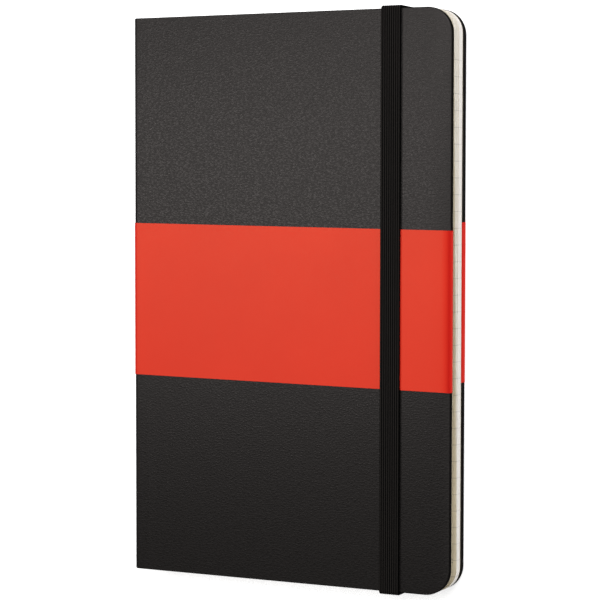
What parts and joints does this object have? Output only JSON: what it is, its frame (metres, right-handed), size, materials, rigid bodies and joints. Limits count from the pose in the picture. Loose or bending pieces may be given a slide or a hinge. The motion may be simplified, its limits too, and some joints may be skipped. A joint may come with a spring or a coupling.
{
  "type": "address book",
  "caption": "Hardcover address book with a step-cut letter index, elastic closing band, ribbon bookmark, inner card pocket and a loose paper band round its covers.",
  "frame": {"origin": "centre of the closed book's footprint, on the table it lies on", "axes": "+X from the spine to the fore-edge, +Y to the head, +Z out of the front cover"},
  "size_m": [0.1304, 0.212, 0.0162],
  "materials": {
    "leatherette": "satin grain",
    "greyboard": "matte",
    "endpaper": "matte",
    "leaf_paper": "matte",
    "pocket_card": "matte",
    "pocket_cloth": "woven",
    "lining_cloth": "woven",
    "ribbon": "satin",
    "elastic": "ribbed",
    "red_paper": "smooth coated"
  },
  "bodies": {
    "back_cover": {"back_board": "greyboard", "back_skin": "leatherette", "back_pastedown": "endpaper", "pocket_card": "pocket_card", "pocket_gusset_head": "pocket_cloth", "pocket_gusset_tail": "pocket_cloth", "elastic_tails": "elastic"},
    "spine": {"spine_strip": "greyboard", "spine_skin": "leatherette", "spine_lining": "lining_cloth", "sewing_thread": "lining_cloth"},
    "front_cover": {"front_board": "greyboard", "front_skin": "leatherette", "front_pastedown": "endpaper"},
    "front_leaf": {"front_flyleaf": "endpaper"},
    "end_leaves": {"notes_leaves": "leaf_paper", "back_flyleaf": "endpaper"},
    "elastic": {"elastic_loop": "elastic"},
    "paper_band_back": {"band_back": "red_paper"},
    "paper_band_spine": {"band_spine": "red_paper"},
    "paper_band_front": {"band_front": "red_paper"},
    "section_a": {"leaves_a": "leaf_paper"},
    "section_b": {"leaves_b": "leaf_paper"},
    "section_c": {"leaves_c": "leaf_paper"},
    "section_d": {"leaves_d": "leaf_paper"},
    "section_e": {"leaves_e": "leaf_paper"},
    "section_f": {"leaves_f": "leaf_paper"},
    "section_g": {"leaves_g": "leaf_paper"},
    "section_h": {"leaves_h": "leaf_paper"},
    "section_i": {"leaves_i": "leaf_paper"},
    "section_j": {"leaves_j": "leaf_paper"},
    "section_k": {"leaves_k": "leaf_paper"},
    "section_l": {"leaves_l": "leaf_paper"},
    "section_m": {"leaves_m": "leaf_paper", "ribbon_bookmark": "ribbon"},
    "section_n": {"leaves_n": "leaf_paper"},
    "section_o": {"leaves_o": "leaf_paper"},
    "section_p": {"leaves_p": "leaf_paper"},
    "section_q": {"leaves_q": "leaf_paper"},
    "section_r": {"leaves_r": "leaf_paper"},
    "section_s": {"leaves_s": "leaf_paper"},
    "section_t": {"leaves_t": "leaf_paper"},
    "section_u": {"leaves_u": "leaf_paper"},
    "section_v": {"leaves_v": "leaf_paper"},
    "section_w": {"leaves_w": "leaf_paper"},
    "section_xyz": {"leaves_xyz": "leaf_paper"}
  },
  "joints": [
    {"name": "spine_hinge", "type": "hinge", "parent": "back_cover", "child": "spine", "pos_m": [-0.0626, 0, 0.0033], "axis": [0, -1, 0], "range_deg": [0, 90]},
    {"name": "front_cover_hinge", "type": "hinge", "parent": "spine", "child": "front_cover", "pos_m": [-0.0626, 0, 0.0127], "axis": [0, -1, 0], "range_deg": [0, 90]},
    {"name": "front_leaf_turn", "type": "hinge", "parent": "spine", "child": "front_leaf", "pos_m": [-0.0626, 0, 0.0127], "axis": [0, -1, 0], "range_deg": [0, 90]},
    {"name": "section_a_turn", "type": "hinge", "parent": "spine", "child": "section_a", "pos_m": [-0.0626, 0, 0.0127], "axis": [0, -1, 0], "range_deg": [0, 90]},
    {"name": "section_b_turn", "type": "hinge", "parent": "spine", "child": "section_b", "pos_m": [-0.0626, 0, 0.0127], "axis": [0, -1, 0], "range_deg": [0, 90]},
    {"name": "section_c_turn", "type": "hinge", "parent": "spine", "child": "section_c", "pos_m": [-0.0626, 0, 0.0127], "axis": [0, -1, 0], "range_deg": [0, 90]},
    {"name": "section_d_turn", "type": "hinge", "parent": "spine", "child": "section_d", "pos_m": [-0.0626, 0, 0.0127], "axis": [0, -1, 0], "range_deg": [0, 90]},
    {"name": "section_e_turn", "type": "hinge", "parent": "spine", "child": "section_e", "pos_m": [-0.0626, 0, 0.0127], "axis": [0, -1, 0], "range_deg": [0, 90]},
    {"name": "section_f_turn", "type": "hinge", "parent": "spine", "child": "section_f", "pos_m": [-0.0626, 0, 0.0127], "axis": [0, -1, 0], "range_deg": [0, 90]},
    {"name": "section_g_turn", "type": "hinge", "parent": "spine", "child": "section_g", "pos_m": [-0.0626, 0, 0.0127], "axis": [0, -1, 0], "range_deg": [0, 90]},
    {"name": "section_h_turn", "type": "hinge", "parent": "spine", "child": "section_h", "pos_m": [-0.0626, 0, 0.0127], "axis": [0, -1, 0], "range_deg": [0, 90]},
    {"name": "section_i_turn", "type": "hinge", "parent": "spine", "child": "section_i", "pos_m": [-0.0626, 0, 0.0127], "axis": [0, -1, 0], "range_deg": [0, 90]},
    {"name": "section_j_turn", "type": "hinge", "parent": "spine", "child": "section_j", "pos_m": [-0.0626, 0, 0.0127], "axis": [0, -1, 0], "range_deg": [0, 90]},
    {"name": "section_k_turn", "type": "hinge", "parent": "spine", "child": "section_k", "pos_m": [-0.0626, 0, 0.0127], "axis": [0, -1, 0], "range_deg": [0, 90]},
    {"name": "section_l_turn", "type": "hinge", "parent": "spine", "child": "section_l", "pos_m": [-0.0626, 0, 0.0127], "axis": [0, -1, 0], "range_deg": [0, 90]},
    {"name": "section_m_turn", "type": "hinge", "parent": "spine", "child": "section_m", "pos_m": [-0.0626, 0, 0.0033], "axis": [0, -1, 0], "range_deg": [-90, 0]},
    {"name": "section_n_turn", "type": "hinge", "parent": "spine", "child": "section_n", "pos_m": [-0.0626, 0, 0.0033], "axis": [0, -1, 0], "range_deg": [-90, 0]},
    {"name": "section_o_turn", "type": "hinge", "parent": "spine", "child": "section_o", "pos_m": [-0.0626, 0, 0.0033], "axis": [0, -1, 0], "range_deg": [-90, 0]},
    {"name": "section_p_turn", "type": "hinge", "parent": "spine", "child": "section_p", "pos_m": [-0.0626, 0, 0.0033], "axis": [0, -1, 0], "range_deg": [-90, 0]},
    {"name": "section_q_turn", "type": "hinge", "parent": "spine", "child": "section_q", "pos_m": [-0.0626, 0, 0.0033], "axis": [0, -1, 0], "range_deg": [-90, 0]},
    {"name": "section_r_turn", "type": "hinge", "parent": "spine", "child": "section_r", "pos_m": [-0.0626, 0, 0.0033], "axis": [0, -1, 0], "range_deg": [-90, 0]},
    {"name": "section_s_turn", "type": "hinge", "parent": "spine", "child": "section_s", "pos_m": [-0.0626, 0, 0.0033], "axis": [0, -1, 0], "range_deg": [-90, 0]},
    {"name": "section_t_turn", "type": "hinge", "parent": "spine", "child": "section_t", "pos_m": [-0.0626, 0, 0.0033], "axis": [0, -1, 0], "range_deg": [-90, 0]},
    {"name": "section_u_turn", "type": "hinge", "parent": "spine", "child": "section_u", "pos_m": [-0.0626, 0, 0.0033], "axis": [0, -1, 0], "range_deg": [-90, 0]},
    {"name": "section_v_turn", "type": "hinge", "parent": "spine", "child": "section_v", "pos_m": [-0.0626, 0, 0.0033], "axis": [0, -1, 0], "range_deg": [-90, 0]},
    {"name": "section_w_turn", "type": "hinge", "parent": "spine", "child": "section_w", "pos_m": [-0.0626, 0, 0.0033], "axis": [0, -1, 0], "range_deg": [-90, 0]},
    {"name": "section_xyz_turn", "type": "hinge", "parent": "spine", "child": "section_xyz", "pos_m": [-0.0626, 0, 0.0033], "axis": [0, -1, 0], "range_deg": [-90, 0]},
    {"name": "end_leaves_turn", "type": "hinge", "parent": "spine", "child": "end_leaves", "pos_m": [-0.0626, 0, 0.0033], "axis": [0, -1, 0], "range_deg": [-90, 0]},
    {"name": "elastic_swing", "type": "hinge", "parent": "back_cover", "child": "elastic", "pos_m": [0.0419, 0, 0.0005], "axis": [0, 1, 0], "range_deg": [0, 180], "deforming": ["elastic_loop"]},
    {"name": "paper_band_slide", "type": "slide", "parent": "back_cover", "child": "paper_band_back", "axis": [0, 1, 0], "range_m": [-0.05, 0.05]},
    {"name": "paper_band_spine_fold", "type": "hinge", "parent": "paper_band_back", "child": "paper_band_spine", "pos_m": [-0.0626, 0, 0.0033], "axis": [0, -1, 0], "range_deg": [0, 90]},
    {"name": "paper_band_front_fold", "type": "hinge", "parent": "paper_band_spine", "child": "paper_band_front", "pos_m": [-0.0626, 0, 0.0127], "axis": [0, -1, 0], "range_deg": [0, 90]}
  ],
  "couplings": [
    {"joint": "front_cover_hinge", "follows": "spine_hinge", "ratio": 1},
    {"joint": "front_leaf_turn", "follows": "spine_hinge", "ratio": 1},
    {"joint": "section_a_turn", "follows": "spine_hinge", "ratio": 0.995},
    {"joint": "section_b_turn", "follows": "spine_hinge", "ratio": 0.99},
    {"joint": "section_c_turn", "follows": "spine_hinge", "ratio": 0.985},
    {"joint": "section_d_turn", "follows": "spine_hinge", "ratio": 0.98},
    {"joint": "section_e_turn", "follows": "spine_hinge", "ratio": 0.975},
    {"joint": "section_f_turn", "follows": "spine_hinge", "ratio": 0.97},
    {"joint": "section_g_turn", "follows": "spine_hinge", "ratio": 0.965},
    {"joint": "section_h_turn", "follows": "spine_hinge", "ratio": 0.96},
    {"joint": "section_i_turn", "follows": "spine_hinge", "ratio": 0.955},
    {"joint": "section_j_turn", "follows": "spine_hinge", "ratio": 0.95},
    {"joint": "section_k_turn", "follows": "spine_hinge", "ratio": 0.945},
    {"joint": "section_l_turn", "follows": "spine_hinge", "ratio": 0.94},
    {"joint": "section_m_turn", "follows": "spine_hinge", "ratio": -0.94},
    {"joint": "section_n_turn", "follows": "spine_hinge", "ratio": -0.945},
    {"joint": "section_o_turn", "follows": "spine_hinge", "ratio": -0.95},
    {"joint": "section_p_turn", "follows": "spine_hinge", "ratio": -0.955},
    {"joint": "section_q_turn", "follows": "spine_hinge", "ratio": -0.96},
    {"joint": "section_r_turn", "follows": "spine_hinge", "ratio": -0.965},
    {"joint": "section_s_turn", "follows": "spine_hinge", "ratio": -0.97},
    {"joint": "section_t_turn", "follows": "spine_hinge", "ratio": -0.975},
    {"joint": "section_u_turn", "follows": "spine_hinge", "ratio": -0.98},
    {"joint": "section_v_turn", "follows": "spine_hinge", "ratio": -0.985},
    {"joint": "section_w_turn", "follows": "spine_hinge", "ratio": -0.99},
    {"joint": "section_xyz_turn", "follows": "spine_hinge", "ratio": -0.995},
    {"joint": "end_leaves_turn", "follows": "spine_hinge", "ratio": -1},
    {"joint": "elastic_swing", "follows": "spine_hinge", "ratio": 2},
    {"joint": "paper_band_spine_fold", "follows": "spine_hinge", "ratio": 1},
    {"joint": "paper_band_front_fold", "follows": "spine_hinge", "ratio": 1}
  ]
}
